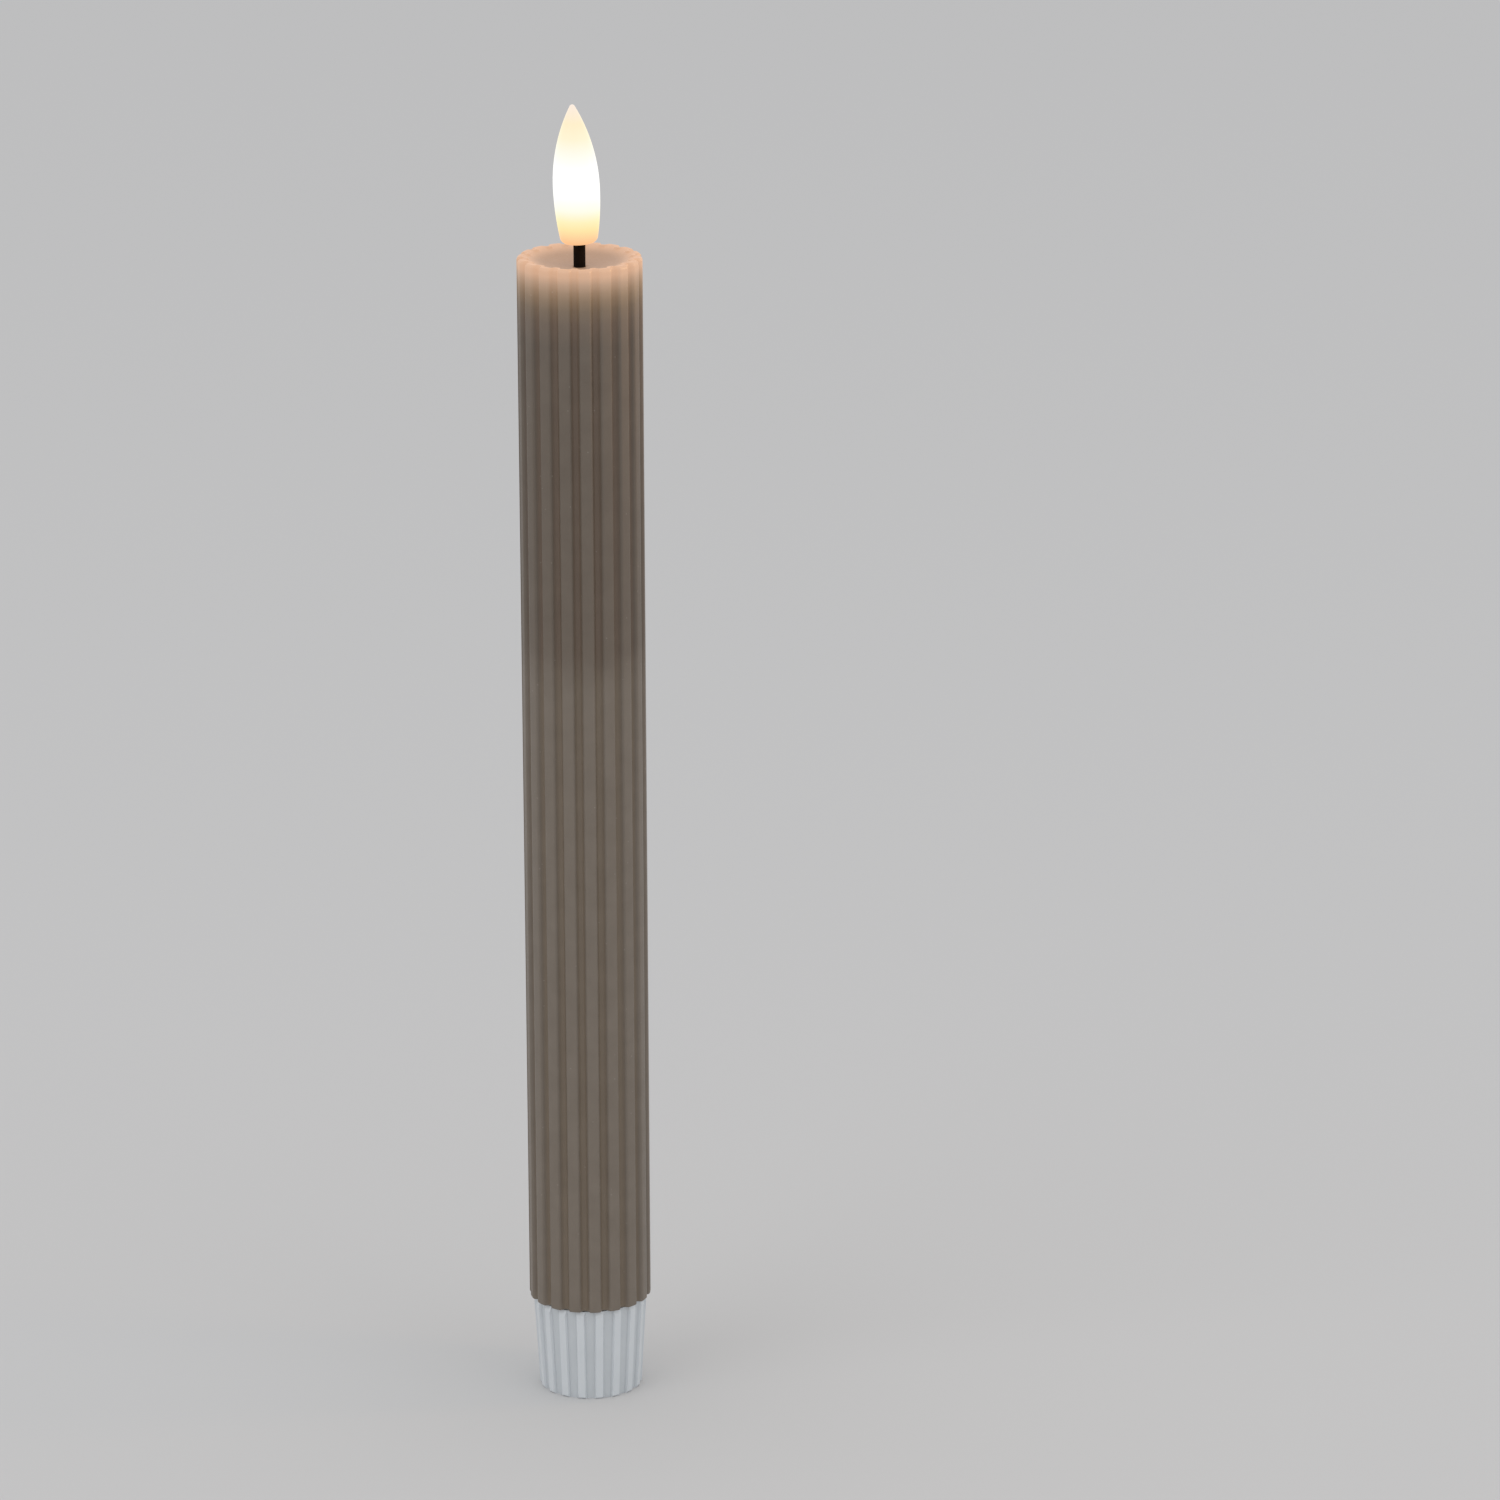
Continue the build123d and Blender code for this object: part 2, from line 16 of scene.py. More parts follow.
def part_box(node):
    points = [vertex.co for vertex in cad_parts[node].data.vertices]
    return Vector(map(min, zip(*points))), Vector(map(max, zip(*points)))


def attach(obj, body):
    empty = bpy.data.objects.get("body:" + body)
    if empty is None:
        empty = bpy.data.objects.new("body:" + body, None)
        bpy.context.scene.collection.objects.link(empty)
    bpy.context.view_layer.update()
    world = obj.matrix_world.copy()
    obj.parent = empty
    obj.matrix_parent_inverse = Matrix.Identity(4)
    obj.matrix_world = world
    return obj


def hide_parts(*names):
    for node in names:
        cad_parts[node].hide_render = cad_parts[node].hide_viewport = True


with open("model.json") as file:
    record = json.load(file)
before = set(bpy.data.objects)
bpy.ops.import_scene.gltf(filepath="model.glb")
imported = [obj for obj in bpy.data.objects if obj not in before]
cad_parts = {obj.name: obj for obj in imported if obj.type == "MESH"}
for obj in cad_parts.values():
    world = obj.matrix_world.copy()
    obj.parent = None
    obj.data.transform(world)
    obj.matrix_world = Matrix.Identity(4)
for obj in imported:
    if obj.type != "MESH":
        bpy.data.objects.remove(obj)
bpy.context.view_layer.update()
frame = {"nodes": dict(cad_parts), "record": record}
MM = 0.001

# %% [markdown]
# ## Sizes
# Places come from the frame's own boxes. Only the sizes that a box cannot tell, such as the
# depth of a flute, are given here, in metres.

# %% Read the sizes
wax_low, wax_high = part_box("wax_body")
lens_low, lens_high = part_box("flame_lens")
cap_low, cap_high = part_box("base_cap")

WAX_RADIUS = wax_high.x
WAX_FOOT, WAX_RIM = wax_low.z, wax_high.z
TUBE_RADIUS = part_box("battery_tube")[1].x
LID_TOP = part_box("tube_lid")[1].z
WICK_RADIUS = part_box("wick_sleeve")[1].x
SLIP = 0.05 * MM
CEILING_GAP = 0.2 * MM
FLUTE_COUNT = 18
FLUTE_DEPTH = 0.9 * MM
FLUTE_WIDTH = 2.2 * MM
FLUTE_HALF_FLOOR = 0.35 * MM
FLUTE_FADE = 2.6 * MM
DISH_RADIUS = 9.7 * MM
DISH_DEPTH = 1.9 * MM
RIM_ROUNDING = 0.7 * MM
RIM_SWEEP = 78  # degrees of the rounding before the lip takes over
LIP_FALL = 0.10 * MM
LIP_WIDTH = 1.2 * MM
FOOT_ROUNDING = 0.35 * MM
FOOT_LAND = 1.2 * MM
SIDE_STEPS = 40
DISH_STEPS = 14
SEGMENTS_PER_FLUTE = 16
print("wax radius", round(WAX_RADIUS / MM, 2), "mm, rim at", round(WAX_RIM / MM, 1), "mm")

# %% [markdown]
# ## Camera
# A long lens from a little above, as a product shot of a pair has it. The candle stands left of
# the middle, so the camera is aimed past its right side, with a touch of roll.

# %% Aim the camera
CAMERA_DISTANCE = 1.300
CAMERA_ELEVATION = math.radians(17.3)
CAMERA_AZIMUTH = math.radians(5.3)
CAMERA_AIM_ASIDE = math.radians(1.297)
CAMERA_ROLL = math.radians(0.60)
CAMERA_LENS = 175.3
AIM_HEIGHT = 0.1203


def make_camera():
    back = Vector((
        math.sin(CAMERA_AZIMUTH) * math.cos(CAMERA_ELEVATION),
        -math.cos(CAMERA_AZIMUTH) * math.cos(CAMERA_ELEVATION),
        math.sin(CAMERA_ELEVATION),
    ))
    data = bpy.data.cameras.new("product_camera")
    data.lens = CAMERA_LENS
    data.sensor_width = 36.0
    camera = bpy.data.objects.new("product_camera", data)
    bpy.context.collection.objects.link(camera)
    facing = (-back).to_track_quat("-Z", "Y").to_matrix().to_4x4()
    place = Matrix.Translation(Vector((0, 0, AIM_HEIGHT)) + back * CAMERA_DISTANCE)
    aside = Matrix.Rotation(-CAMERA_AIM_ASIDE, 4, "Y")
    roll = Matrix.Rotation(-CAMERA_ROLL, 4, "Z")
    camera.matrix_world = place @ facing @ aside @ roll
    bpy.context.scene.camera = camera
    return camera


camera = make_camera()
print("camera at", [round(v, 3) for v in camera.matrix_world.translation])

# %% [markdown]
# ## Light and floor
# The light is soft and nearly even, as in a light tent: a pale sky all round, one large soft
# panel high on the left and a weak one on the right. A second candle stands beside this one in
# use, so a very faint warm light comes from where its flame would be.

# %% Build the light tent
SKY = (0.99, 0.99, 1.0, 1.0)
SKY_STRENGTH = 0.83
FLOOR_GREY = 0.605
FLOOR_HALF = 6.0
PANEL_SIZE = 1.2
PANEL_AIM = Vector((0, 0, 0.12))
NEIGHBOUR_ASIDE = 0.059
NEIGHBOUR_UP = 0.011


def soft_panel(name, place, power):
    data = bpy.data.lights.new(name, "AREA")
    data.shape = "DISK"
    data.size = PANEL_SIZE
    data.energy = power
    lamp = bpy.data.objects.new(name, data)
    lamp.location = place
    lamp.rotation_euler = (PANEL_AIM - Vector(place)).to_track_quat("-Z", "Y").to_euler()
    bpy.context.collection.objects.link(lamp)


world = bpy.data.worlds.new("light_tent")
world.use_nodes = True
world.node_tree.nodes["Background"].inputs["Color"].default_value = SKY
world.node_tree.nodes["Background"].inputs["Strength"].default_value = SKY_STRENGTH
bpy.context.scene.world = world
bpy.context.scene.view_settings.view_transform = "Standard"
soft_panel("left_panel", (-0.9, -0.9, 1.3), 3.0)
soft_panel("right_panel", (1.1, -0.7, 1.0), 1.4)

neighbour = bpy.data.lights.new("neighbour_flame", "POINT")
neighbour.energy = 0.048
neighbour.color = (1.0, 0.62, 0.30)
neighbour.shadow_soft_size = 0.006
neighbour_lamp = bpy.data.objects.new("neighbour_flame", neighbour)
neighbour_lamp.location = (NEIGHBOUR_ASIDE, 0.0, lens_low.z + NEIGHBOUR_UP)
bpy.context.collection.objects.link(neighbour_lamp)

floor_mesh = bpy.data.meshes.new("studio_floor")
corners = [(-1, -1), (1, -1), (1, 1), (-1, 1)]
floor_mesh.from_pydata([(x * FLOOR_HALF, y * FLOOR_HALF, 0) for x, y in corners], [], [(0, 1, 2, 3)])
floor = bpy.data.objects.new("studio_floor", floor_mesh)
bpy.context.collection.objects.link(floor)
paper = bpy.data.materials.new("grey_paper")
paper.use_nodes = True
paper_shader = paper.node_tree.nodes["Principled BSDF"]
paper_shader.inputs["Base Color"].default_value = (FLOOR_GREY, FLOOR_GREY, FLOOR_GREY, 1)
paper_shader.inputs["Roughness"].default_value = 0.95
paper_shader.inputs["Specular IOR Level"].default_value = 0.0
floor_mesh.materials.append(paper)
print("tent lit, floor", FLOOR_HALF * 2, "m wide")

# %% [markdown]
# ## Shared effects
# Moulded plastic, wax, board and wire all vary a little in tone and gloss over a few
# millimetres, and drawn metal has fine lines along one way. Both effects are node groups, built
# once and placed in each material with that material's own colours and scale.

# %% Start a node group
def new_group(name, inputs, outputs):
    group = bpy.data.node_groups.new(name, "ShaderNodeTree")
    for label, kind, value in inputs:
        socket = group.interface.new_socket(name=label, in_out="INPUT", socket_type=kind)
        socket.default_value = value
    for label, kind in outputs:
        group.interface.new_socket(name=label, in_out="OUTPUT", socket_type=kind)
    return group, group.nodes.new("NodeGroupInput"), group.nodes.new("NodeGroupOutput")


def noise(group, scale_from, coordinates, detail=4.0):
    node = group.nodes.new("ShaderNodeTexNoise")
    node.inputs["Detail"].default_value = detail
    group.links.new(coordinates, node.inputs["Vector"])
    group.links.new(scale_from, node.inputs["Scale"])
    return node.outputs["Fac"]


def spread(group, value, low, high, to_low, to_high):
    node = group.nodes.new("ShaderNodeMapRange")
    for label, number in (("From Min", low), ("From Max", high)):
        node.inputs[label].default_value = number
    for label, number in (("To Min", to_low), ("To Max", to_high)):
        if isinstance(number, (int, float)):
            node.inputs[label].default_value = number
        else:
            group.links.new(number, node.inputs[label])
    group.links.new(value, node.inputs["Value"])
    return node.outputs["Result"]


def mixed(group, factor, first, second):
    node = group.nodes.new("ShaderNodeMix")
    node.data_type = "RGBA"
    group.links.new(factor, node.inputs[0])
    for value, socket in ((first, node.inputs[6]), (second, node.inputs[7])):
        if isinstance(value, tuple):
            socket.default_value = value
        else:
            group.links.new(value, socket)
    return node.outputs[2]


# %% Build the two shared effects
def make_surface_group(name, stretch):
    """Tone, gloss and grain from noise on Object coordinates, stretched for drawn metal."""
    group, inside, outside = new_group(
        name,
        [
            ("Tone A", "NodeSocketColor", (0.5, 0.5, 0.5, 1)),
            ("Tone B", "NodeSocketColor", (0.4, 0.4, 0.4, 1)),
            ("Patch Scale", "NodeSocketFloat", 120.0),
            ("Grain Scale", "NodeSocketFloat", 2500.0),
            ("Gloss Low", "NodeSocketFloat", 0.35),
            ("Gloss High", "NodeSocketFloat", 0.5),
        ],
        [("Color", "NodeSocketColor"), ("Roughness", "NodeSocketFloat"), ("Height", "NodeSocketFloat")],
    )
    where = group.nodes.new("ShaderNodeTexCoord")
    mapping = group.nodes.new("ShaderNodeMapping")
    mapping.inputs["Scale"].default_value = stretch
    group.links.new(where.outputs["Object"], mapping.inputs["Vector"])
    patches = noise(group, inside.outputs["Patch Scale"], mapping.outputs["Vector"])
    grain = noise(group, inside.outputs["Grain Scale"], mapping.outputs["Vector"], 6.0)
    blend = spread(group, patches, 0.3, 0.7, 0.0, 1.0)
    tone = mixed(group, blend, inside.outputs["Tone A"], inside.outputs["Tone B"])
    gloss = spread(group, grain, 0.3, 0.7, inside.outputs["Gloss Low"], inside.outputs["Gloss High"])
    group.links.new(tone, outside.inputs["Color"])
    group.links.new(gloss, outside.inputs["Roughness"])
    group.links.new(grain, outside.inputs["Height"])
    return group


moulded = make_surface_group("moulded_surface", (1.0, 1.0, 1.0))
drawn = make_surface_group("drawn_metal", (1.0, 1.0, 0.06))
print("groups:", moulded.name, drawn.name)


# %% Make a material from a shared effect
GRAIN_HEIGHT = 0.02 * MM


def new_material(name):
    material = bpy.data.materials.new(name)
    material.use_nodes = True
    tree = material.node_tree
    return material, tree, tree.nodes["Principled BSDF"]


def place_group(tree, group, **values):
    node = tree.nodes.new("ShaderNodeGroup")
    node.node_tree = group
    for label, value in values.items():
        node.inputs[label.replace("_", " ")].default_value = value
    return node


def add_bump(tree, shader, height, strength, distance):
    bump = tree.nodes.new("ShaderNodeBump")
    bump.inputs["Strength"].default_value = strength
    bump.inputs["Distance"].default_value = distance
    tree.links.new(height, bump.inputs["Height"])
    tree.links.new(bump.outputs["Normal"], shader.inputs["Normal"])


def surface_material(name, group, tone_a, tone_b, patch, grain, gloss,
                     metallic=0.0, bump=0.15, coat=0.0):
    material, tree, shader = new_material(name)
    node = place_group(
        tree, group, Tone_A=(*tone_a, 1), Tone_B=(*tone_b, 1), Patch_Scale=patch,
        Grain_Scale=grain, Gloss_Low=gloss[0], Gloss_High=gloss[1],
    )
    tree.links.new(node.outputs["Color"], shader.inputs["Base Color"])
    tree.links.new(node.outputs["Roughness"], shader.inputs["Roughness"])
    shader.inputs["Metallic"].default_value = metallic
    shader.inputs["Coat Weight"].default_value = coat
    add_bump(tree, shader, node.outputs["Height"], bump, GRAIN_HEIGHT)
    return material


# %% [markdown]
# ## Wax shape
# The wax is cast as one fluted bar with a melted-looking dish on top. Turning an outline round
# the axis gives a clean closed skin, and a Geometry Nodes tree then presses the flutes into it,
# so that their count, depth and width stay numbers that can be changed. The press fades out
# towards the dish and leaves the bore alone.

# %% Turn an outline into a closed skin
def arc(centre, radius, start, end, steps):
    angles = [math.radians(start + (end - start) * i / steps) for i in range(steps + 1)]
    return [(centre[0] + radius * math.cos(a), centre[1] + radius * math.sin(a)) for a in angles]


def turned_piece(name, outline, segments):
    """A skin turned round Z from a closed loop of (radius, height) points, all off the axis."""
    mesh = bpy.data.meshes.new(name)
    shape = bmesh.new()
    turn = [2 * math.pi * i / segments for i in range(segments)]
    rings = [
        [shape.verts.new((radius * math.cos(a), radius * math.sin(a), height)) for a in turn]
        for radius, height in outline
    ]
    for lower, upper in zip(rings, rings[1:] + rings[:1]):
        for i in range(segments):
            j = (i + 1) % segments
            shape.faces.new([lower[i], lower[j], upper[j], upper[i]])
    bmesh.ops.recalc_face_normals(shape, faces=shape.faces)
    for face in shape.faces:
        face.smooth = True
    shape.to_mesh(mesh)
    shape.free()
    piece = bpy.data.objects.new(name, mesh)
    bpy.context.collection.objects.link(piece)
    return piece


def wax_outline():
    dish_sphere = (DISH_RADIUS**2 + DISH_DEPTH**2) / (2 * DISH_DEPTH)
    dish_floor = WAX_RIM - DISH_DEPTH
    bore = TUBE_RADIUS + SLIP
    hole = WICK_RADIUS + SLIP
    ceiling = LID_TOP + CEILING_GAP
    points = [(bore, ceiling), (bore, WAX_FOOT), (bore + FOOT_LAND, WAX_FOOT)]
    low = (WAX_RADIUS - FOOT_ROUNDING, WAX_FOOT + FOOT_ROUNDING)
    points += arc(low, FOOT_ROUNDING, -90, 0, 5)
    start, end = WAX_FOOT + FOOT_ROUNDING, WAX_RIM - RIM_ROUNDING
    points += [(WAX_RADIUS, start + (end - start) * i / SIDE_STEPS) for i in range(1, SIDE_STEPS)]
    points += arc((WAX_RADIUS - RIM_ROUNDING, end), RIM_ROUNDING, 0, RIM_SWEEP, 8)
    # The lip falls away softly into the dish, which is part of a large ball.
    for i in range(DISH_STEPS + 1):
        radius = DISH_RADIUS * (1 - i / DISH_STEPS) + hole * i / DISH_STEPS
        ball = dish_floor + dish_sphere - math.sqrt(dish_sphere**2 - radius**2)
        lip = LIP_FALL * math.exp(-(((DISH_RADIUS - radius) / LIP_WIDTH) ** 2))
        points.append((radius, ball - lip))
    points.append((hole, ceiling))
    return points


wax = turned_piece("fluted_wax", wax_outline(), FLUTE_COUNT * SEGMENTS_PER_FLUTE)
print("wax skin:", len(wax.data.polygons), "faces before the flutes")


# %% Build the flute press
FADE_GAIN = 1.6


def math_node(tree, operation, first, second=None):
    node = tree.nodes.new("ShaderNodeMath")
    node.operation = operation
    for index, value in enumerate((first, second)):
        if value is None:
            continue
        if isinstance(value, (int, float)):
            node.inputs[index].default_value = value
        else:
            tree.links.new(value, node.inputs[index])
    return node.outputs[0]


def smooth_step(tree, value, low, high):
    node = tree.nodes.new("ShaderNodeMapRange")
    node.interpolation_type = "SMOOTHERSTEP"
    for label, number in (("Value", value), ("From Min", low), ("From Max", high)):
        if isinstance(number, (int, float)):
            node.inputs[label].default_value = number
        else:
            tree.links.new(number, node.inputs[label])
    return node.outputs["Result"]


def distance_from_axis(tree, x, y):
    squares = [math_node(tree, "MULTIPLY", v, v) for v in (x, y)]
    return math_node(tree, "SQRT", math_node(tree, "ADD", *squares))


def make_flute_press():
    tree = bpy.data.node_groups.new("flute_press", "GeometryNodeTree")
    face = tree.interface
    face.new_socket(name="Geometry", in_out="INPUT", socket_type="NodeSocketGeometry")
    for label in ("Flutes", "Depth", "Half Width", "Half Floor", "Outer Radius", "Fade Radius"):
        face.new_socket(name=label, in_out="INPUT", socket_type="NodeSocketFloat")
    face.new_socket(name="Material", in_out="INPUT", socket_type="NodeSocketMaterial")
    face.new_socket(name="Geometry", in_out="OUTPUT", socket_type="NodeSocketGeometry")
    inside = tree.nodes.new("NodeGroupInput").outputs
    outside = tree.nodes.new("NodeGroupOutput")
    where = tree.nodes.new("GeometryNodeInputPosition")
    split = tree.nodes.new("ShaderNodeSeparateXYZ")
    tree.links.new(where.outputs[0], split.inputs[0])
    x, y, z = split.outputs
    radius = distance_from_axis(tree, x, y)
    turns = math_node(tree, "DIVIDE", math_node(tree, "ARCTAN2", y, x), 2 * math.pi)
    place = math_node(tree, "FRACT", math_node(tree, "MULTIPLY", turns, inside["Flutes"]))
    off_middle = math_node(tree, "ABSOLUTE", math_node(tree, "SUBTRACT", place, 0.5))
    around = math_node(tree, "MULTIPLY", inside["Outer Radius"], 2 * math.pi)
    pitch = math_node(tree, "DIVIDE", around, inside["Flutes"])
    aside = math_node(tree, "MULTIPLY", off_middle, pitch)
    rise = smooth_step(tree, aside, inside["Half Floor"], inside["Half Width"])
    fade = smooth_step(tree, radius, inside["Fade Radius"], inside["Outer Radius"])
    # At the lip the fade is under way, so the flutes run out softly over the rim.
    reach = math_node(tree, "MINIMUM", math_node(tree, "MULTIPLY", fade, FADE_GAIN), 1.0)
    push = math_node(tree, "MULTIPLY", math_node(tree, "SUBTRACT", 1.0, rise), inside["Depth"])
    push = math_node(tree, "MULTIPLY", push, reach)
    keep = math_node(tree, "SUBTRACT", 1.0, math_node(tree, "DIVIDE", push, radius))
    join = tree.nodes.new("ShaderNodeCombineXYZ")
    tree.links.new(math_node(tree, "MULTIPLY", x, keep), join.inputs[0])
    tree.links.new(math_node(tree, "MULTIPLY", y, keep), join.inputs[1])
    tree.links.new(z, join.inputs[2])
    move = tree.nodes.new("GeometryNodeSetPosition")
    tree.links.new(inside["Geometry"], move.inputs["Geometry"])
    tree.links.new(join.outputs[0], move.inputs["Position"])
    real = tree.nodes.new("GeometryNodeRealizeInstances")
    tree.links.new(move.outputs[0], real.inputs[0])
    coat = tree.nodes.new("GeometryNodeSetMaterial")
    tree.links.new(real.outputs[0], coat.inputs["Geometry"])
    tree.links.new(inside["Material"], coat.inputs["Material"])
    tree.links.new(coat.outputs[0], outside.inputs[0])
    return tree


def run_tree(piece, tree, values):
    """Runs a Geometry Nodes tree on a piece once and keeps the plain mesh that comes out."""
    modifier = piece.modifiers.new(tree.name, "NODES")
    modifier.node_group = tree
    for item in tree.interface.items_tree:
        if item.in_out == "INPUT" and item.name in values:
            modifier[item.identifier] = values[item.name]
    view = bpy.context.evaluated_depsgraph_get()
    result = bpy.data.meshes.new_from_object(piece.evaluated_get(view), depsgraph=view)
    piece.modifiers.remove(modifier)
    piece.data = result
    result.name = piece.name
    return piece


flute_press = make_flute_press()
print("flute press:", len(flute_press.nodes), "nodes")

# %% [markdown]
# ## Wax finish
# Three things colour the wax. Its own taupe varies a little, and a painted shade darkens the flutes.
# Where the white battery tube stands behind it, light off the tube shows through the wax; that
# light is painted in as a paler tone, which changes at the tube's top. And the flame lights the
# wax from inside, most at the rim, fading in about a centimetre. The glow is an emission that
# depends on depth below the rim and on radius.

# %% Colour the wax
# The pale tones are painted light from the white tube, showing through the wax below its top.
TUBE_LIT_TAUPE = (0.197, 0.163, 0.130, 1)
DEEP_TAUPE = (0.152, 0.121, 0.093, 1)
# The flute tones are the taupe darkened by painted shade down in the flutes.
TUBE_LIT_SHADED_FLUTE = (0.200, 0.156, 0.112, 1)
SHADED_FLUTE_TAUPE = (0.152, 0.108, 0.076, 1)
TONE_BLEND = 7.5 * MM
TONE_BLEND_ABOVE = 4.5 * MM
RIB_TOP_BAND = 0.25 * MM
FLECK_SCALE = 420.0
FLECK_SIZE = 0.055
FLECK_SHARE = 0.35
FLECK_TONE = (0.34, 0.31, 0.28, 1)
WAX_GRAIN_HEIGHT = 0.03 * MM
DISH_GLOW = 0.56
LIP_GLOW_FROM = 0.60
LIP_GLOW_TO = 1.06
GLOW_REACH = 14.0 * MM
GLOW_STOPS = [
    (0.00, (0.60, 0.34, 0.205)), (0.10, (0.53, 0.31, 0.195)), (0.20, (0.345, 0.212, 0.135)),
    (0.30, (0.215, 0.131, 0.076)), (0.40, (0.130, 0.079, 0.041)), (0.53, (0.060, 0.037, 0.018)),
    (0.70, (0.026, 0.015, 0.009)), (1.00, (0.0, 0.0, 0.0)),
]


def fill_ramp(node, stops):
    ramp = node.color_ramp
    ramp.interpolation = "LINEAR"
    while len(ramp.elements) < len(stops):
        ramp.elements.new(0.5)
    for element, (place, colour) in zip(ramp.elements, stops):
        element.position = place
        element.color = (*colour, 1)


def object_position(tree):
    where = tree.nodes.new("ShaderNodeTexCoord")
    split = tree.nodes.new("ShaderNodeSeparateXYZ")
    tree.links.new(where.outputs["Object"], split.inputs[0])
    return where.outputs["Object"], split.outputs


def multiplied(tree, first, second):
    node = tree.nodes.new("ShaderNodeMix")
    node.data_type = "RGBA"
    node.blend_type = "MULTIPLY"
    node.inputs[0].default_value = 1.0
    tree.links.new(first, node.inputs[6])
    tree.links.new(second, node.inputs[7])
    return node.outputs[2]


def make_wax_material():
    material, tree, shader = new_material("taupe_wax")
    where, (x, y, z) = object_position(tree)
    radius = distance_from_axis(tree, x, y)
    # Painted light: the wax is paler where the white tube stands behind it.
    above_tube = smooth_step(tree, z, LID_TOP - TONE_BLEND, LID_TOP + TONE_BLEND_ABOVE)
    on_rib = smooth_step(tree, radius, WAX_RADIUS - FLUTE_DEPTH, WAX_RADIUS - RIB_TOP_BAND)
    rib = mixed(tree, above_tube, TUBE_LIT_TAUPE, DEEP_TAUPE)
    flute = mixed(tree, above_tube, TUBE_LIT_SHADED_FLUTE, SHADED_FLUTE_TAUPE)
    # Painted shade: away from the rib tops the wax takes the darker flute tones.
    body = mixed(tree, on_rib, flute, rib)
    grain = place_group(
        tree, moulded, Tone_A=(1.0, 1.0, 1.0, 1), Tone_B=(0.90, 0.89, 0.88, 1), Patch_Scale=260.0,
        Grain_Scale=2600.0, Gloss_Low=0.42, Gloss_High=0.55,
    )
    tone = multiplied(tree, body, grain.outputs["Color"])
    specks = tree.nodes.new("ShaderNodeTexVoronoi")
    specks.inputs["Scale"].default_value = FLECK_SCALE
    tree.links.new(where, specks.inputs["Vector"])
    fleck = math_node(tree, "LESS_THAN", specks.outputs["Distance"], FLECK_SIZE)
    flecked = mixed(tree, math_node(tree, "MULTIPLY", fleck, FLECK_SHARE), tone, FLECK_TONE)
    tree.links.new(flecked, shader.inputs["Base Color"])
    tree.links.new(grain.outputs["Roughness"], shader.inputs["Roughness"])
    depth = math_node(tree, "DIVIDE", math_node(tree, "SUBTRACT", WAX_RIM, z), GLOW_REACH)
    ramp = tree.nodes.new("ShaderNodeValToRGB")
    fill_ramp(ramp, GLOW_STOPS)
    tree.links.new(math_node(tree, "MAXIMUM", depth, 0.0), ramp.inputs[0])
    # Inside the dish the wax is thicker and the glow is a little weaker than at the lip.
    lip = smooth_step(tree, radius, DISH_RADIUS * LIP_GLOW_FROM, DISH_RADIUS * LIP_GLOW_TO)
    share = math_node(tree, "ADD", DISH_GLOW, math_node(tree, "MULTIPLY", lip, 1 - DISH_GLOW))
    glow = mixed(tree, share, (0, 0, 0, 1), ramp.outputs[0])
    tree.links.new(glow, shader.inputs["Emission Color"])
    shader.inputs["Emission Strength"].default_value = 1.0
    shader.inputs["Coat Weight"].default_value = 0.10
    shader.inputs["Coat Roughness"].default_value = 0.35
    add_bump(tree, shader, grain.outputs["Height"], 0.18, WAX_GRAIN_HEIGHT)
    return material


taupe_wax = make_wax_material()
wax = run_tree(wax, flute_press, {
    "Flutes": float(FLUTE_COUNT), "Depth": FLUTE_DEPTH, "Half Width": FLUTE_WIDTH / 2,
    "Half Floor": FLUTE_HALF_FLOOR, "Outer Radius": WAX_RADIUS,
    "Fade Radius": WAX_RADIUS - FLUTE_FADE, "Material": taupe_wax,
})
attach(wax, "candle")
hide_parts("wax_body")
print("fluted wax:", len(wax.data.polygons), "faces")

# %% [markdown]
# ## Flame
# The flame is a hollow milky lens on the wick, with the lamp inside. It is white over its middle,
# cream above, and orange at its foot, where the light leaves along the wall.
# The lens of the frame has the right outline, so it keeps its mesh and gets a lit material whose
# colour follows the height along it.

# %% Light the flame
FLAME_STOPS = [
    (0.00, (0.95, 0.49, 0.23)), (0.05, (0.95, 0.59, 0.30)), (0.12, (0.96, 0.77, 0.37)),
    (0.18, (0.97, 0.86, 0.49)), (0.26, (0.98, 0.95, 0.80)), (0.35, (1.00, 1.00, 0.97)),
    (0.57, (1.00, 1.00, 0.97)), (0.68, (0.98, 0.93, 0.80)), (0.77, (0.96, 0.87, 0.63)),
    (0.87, (0.95, 0.82, 0.56)), (1.00, (0.93, 0.80, 0.70)),
]


def make_flame_material():
    material, tree, shader = new_material("lit_milky_lens")
    _, (_, _, z) = object_position(tree)
    height = lens_high.z - lens_low.z
    up = math_node(tree, "DIVIDE", math_node(tree, "SUBTRACT", z, lens_low.z), height)
    ramp = tree.nodes.new("ShaderNodeValToRGB")
    fill_ramp(ramp, FLAME_STOPS)
    tree.links.new(up, ramp.inputs[0])
    tree.links.new(ramp.outputs[0], shader.inputs["Emission Color"])
    grain = place_group(
        tree, moulded, Tone_A=(0.05, 0.045, 0.038, 1), Tone_B=(0.04, 0.036, 0.03, 1),
        Patch_Scale=300.0, Grain_Scale=3000.0, Gloss_Low=0.28, Gloss_High=0.38,
    )
    tree.links.new(grain.outputs["Color"], shader.inputs["Base Color"])
    tree.links.new(grain.outputs["Roughness"], shader.inputs["Roughness"])
    shader.inputs["Emission Strength"].default_value = 1.0
    shader.inputs["Specular IOR Level"].default_value = 0.2
    add_bump(tree, shader, grain.outputs["Height"], 0.08, GRAIN_HEIGHT)
    return material


lit_lens = make_flame_material()
print("flame lit from", round(lens_low.z / MM, 1), "to", round(lens_high.z / MM, 1), "mm")

# %% [markdown]
# ## Every other part
# The screw cap, tube, boards, contacts and cells already have their true shapes. Each slot of
# the record gets one material, and each node takes the material of its slot.

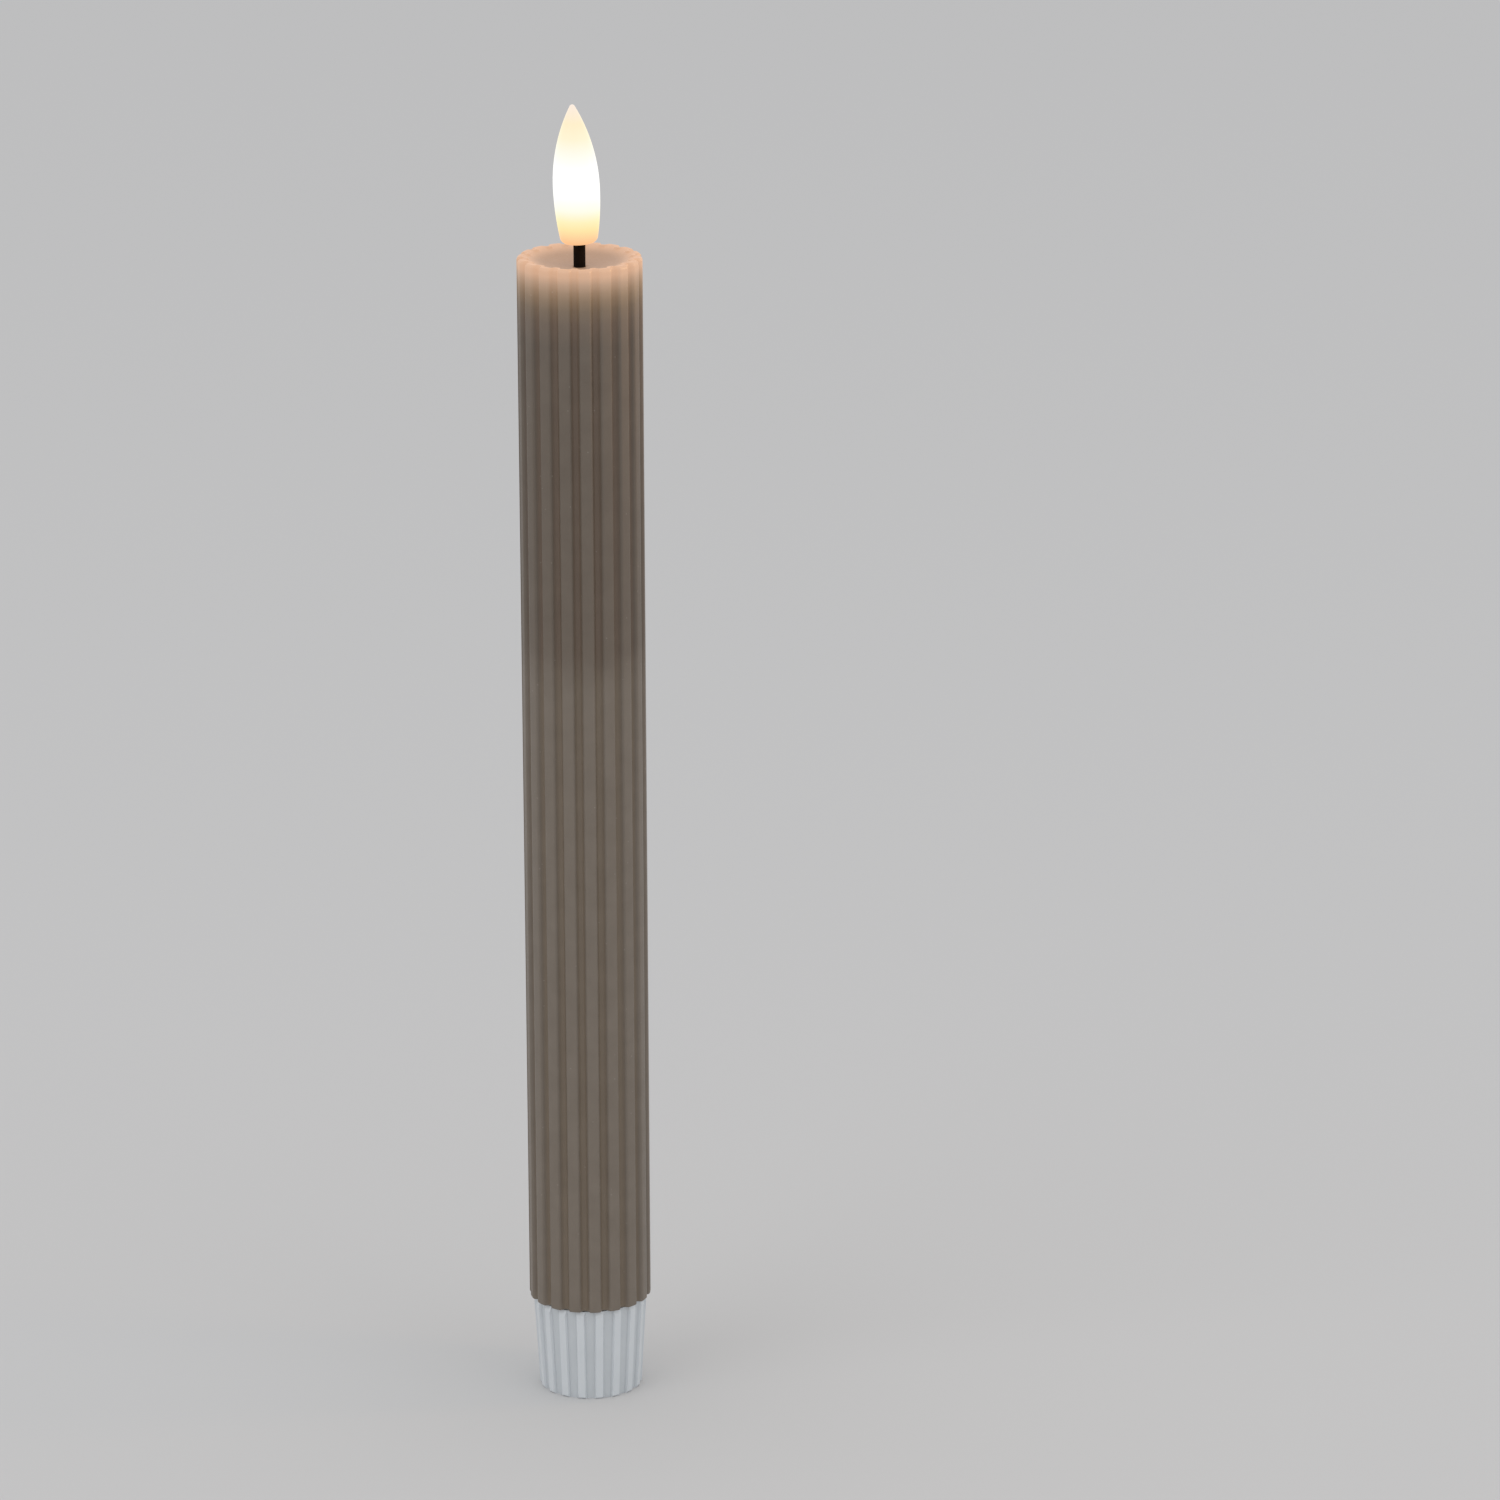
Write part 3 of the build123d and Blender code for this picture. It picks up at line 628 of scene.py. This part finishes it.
# %% Colour the screw cap
CAP_FOOT_RADIUS = 9.25 * MM
CAP_RIB_HEIGHT = 0.55 * MM
CAP_RIB_TOP_BAND = 0.15 * MM
# Painted light on the rib crests and painted shade on the floors between them.
CAP_LIT_RIB = (0.68, 0.715, 0.742, 1)
CAP_SHADED_FLOOR = (0.595, 0.628, 0.652, 1)


def make_cap_material():
    """White plastic with painted light on its ribs and painted shade on the floors between them."""
    material = surface_material("white_cap_plastic", moulded, (1.0, 1.0, 1.0), (0.955, 0.96, 0.965),
                                180, 2200, (0.30, 0.42), bump=0.10, coat=0.08)
    tree = material.node_tree
    shader = tree.nodes["Principled BSDF"]
    tones = shader.inputs["Base Color"].links[0].from_socket
    _, (x, y, z) = object_position(tree)
    radius = distance_from_axis(tree, x, y)
    draft = (cap_high.x - CAP_FOOT_RADIUS) / (cap_high.z - cap_low.z)
    crest = math_node(tree, "ADD", CAP_FOOT_RADIUS, math_node(tree, "MULTIPLY", z, draft))
    inset = math_node(tree, "SUBTRACT", crest, radius)
    on_rib = smooth_step(tree, inset, CAP_RIB_HEIGHT, CAP_RIB_TOP_BAND)
    # The ribs take the painted light tone and the floors the painted shade tone.
    body = mixed(tree, on_rib, CAP_SHADED_FLOOR, CAP_LIT_RIB)
    tree.links.new(multiplied(tree, body, tones), shader.inputs["Base Color"])
    return material


# %% List the plain finishes
# Each row: material name, two tones, patch scale, grain scale, lowest and highest roughness.
MOULDED_FINISHES = {
    "white_plastic": ("white_tube_plastic", (0.78, 0.78, 0.76), (0.72, 0.72, 0.70),
                      150, 2000, (0.35, 0.5)),
    "wick": ("charred_wick", (0.004, 0.002, 0.001), (0.010, 0.005, 0.002), 900, 3200, (0.8, 0.95)),
    "led_epoxy": ("lit_lamp_epoxy", (0.9, 0.78, 0.5), (0.85, 0.72, 0.45), 200, 2500, (0.1, 0.2)),
    "red_wire": ("red_insulation", (0.45, 0.02, 0.015), (0.38, 0.016, 0.012), 400, 3000, (0.4, 0.55)),
    "black_wire": ("black_insulation", (0.02, 0.02, 0.02), (0.012, 0.012, 0.012),
                   400, 3000, (0.4, 0.55)),
    "green_board": ("board_lacquer", (0.02, 0.14, 0.05), (0.015, 0.10, 0.035), 500, 2600, (0.25, 0.4)),
    "black_epoxy": ("chip_moulding", (0.025, 0.025, 0.027), (0.018, 0.018, 0.02),
                    600, 3500, (0.5, 0.7)),
    "tan_ceramic": ("tan_ceramic", (0.34, 0.20, 0.09), (0.28, 0.16, 0.07), 700, 3500, (0.35, 0.5)),
    "cell_jacket": ("blue_shrink_jacket", (0.02, 0.06, 0.20), (0.016, 0.05, 0.17),
                    160, 1800, (0.2, 0.32)),
    "black_plastic": ("black_switch_plastic", (0.022, 0.022, 0.024), (0.015, 0.015, 0.017),
                      300, 2800, (0.4, 0.58)),
}
DRAWN_FINISHES = {
    "tinned_steel": ("tinned_steel", (0.62, 0.62, 0.60), (0.52, 0.52, 0.51), 700, 6000, (0.25, 0.4)),
    "cell_steel": ("nickel_cell_steel", (0.64, 0.63, 0.61), (0.56, 0.55, 0.54), 500, 5000, (0.2, 0.34)),
    "spring_steel": ("spring_wire", (0.58, 0.58, 0.57), (0.48, 0.48, 0.48), 900, 6000, (0.25, 0.42)),
    "screw_steel": ("zinc_screw", (0.50, 0.52, 0.54), (0.42, 0.44, 0.47), 900, 5000, (0.3, 0.45)),
    "nickel_contact": ("nickel_strip", (0.63, 0.61, 0.56), (0.55, 0.53, 0.49), 400, 5000, (0.22, 0.38)),
    "copper": ("gold_flashed_copper", (0.78, 0.50, 0.20), (0.66, 0.40, 0.16), 500, 5000, (0.2, 0.35)),
}
FINISH_EXTRAS = {"wick": {"bump": 0.5}, "green_board": {"coat": 0.3}, "cell_jacket": {"coat": 0.3}}
WICK_SHEEN = 0.12
LAMP_GLOW = (1.0, 0.78, 0.42, 1)
LAMP_STRENGTH = 2.0
print(len(MOULDED_FINISHES), "moulded finishes and", len(DRAWN_FINISHES), "drawn ones")

# %% Mix the materials and give each node its own
slot_materials = {"lit_lens": lit_lens, "base_plastic": make_cap_material(), "wax": taupe_wax}
for slot, (name, *finish) in MOULDED_FINISHES.items():
    slot_materials[slot] = surface_material(name, moulded, *finish, **FINISH_EXTRAS.get(slot, {}))
for slot, (name, *finish) in DRAWN_FINISHES.items():
    slot_materials[slot] = surface_material(name, drawn, *finish, metallic=1.0)


def shader_of(slot):
    return slot_materials[slot].node_tree.nodes["Principled BSDF"].inputs


shader_of("wick")["Specular IOR Level"].default_value = WICK_SHEEN
shader_of("led_epoxy")["Emission Color"].default_value = LAMP_GLOW
shader_of("led_epoxy")["Emission Strength"].default_value = LAMP_STRENGTH

for entry in frame["record"]["subparts"]:
    node = frame["nodes"][entry["node"]]
    for held in node.material_slots:
        held.material = slot_materials[entry["material_slot"]]
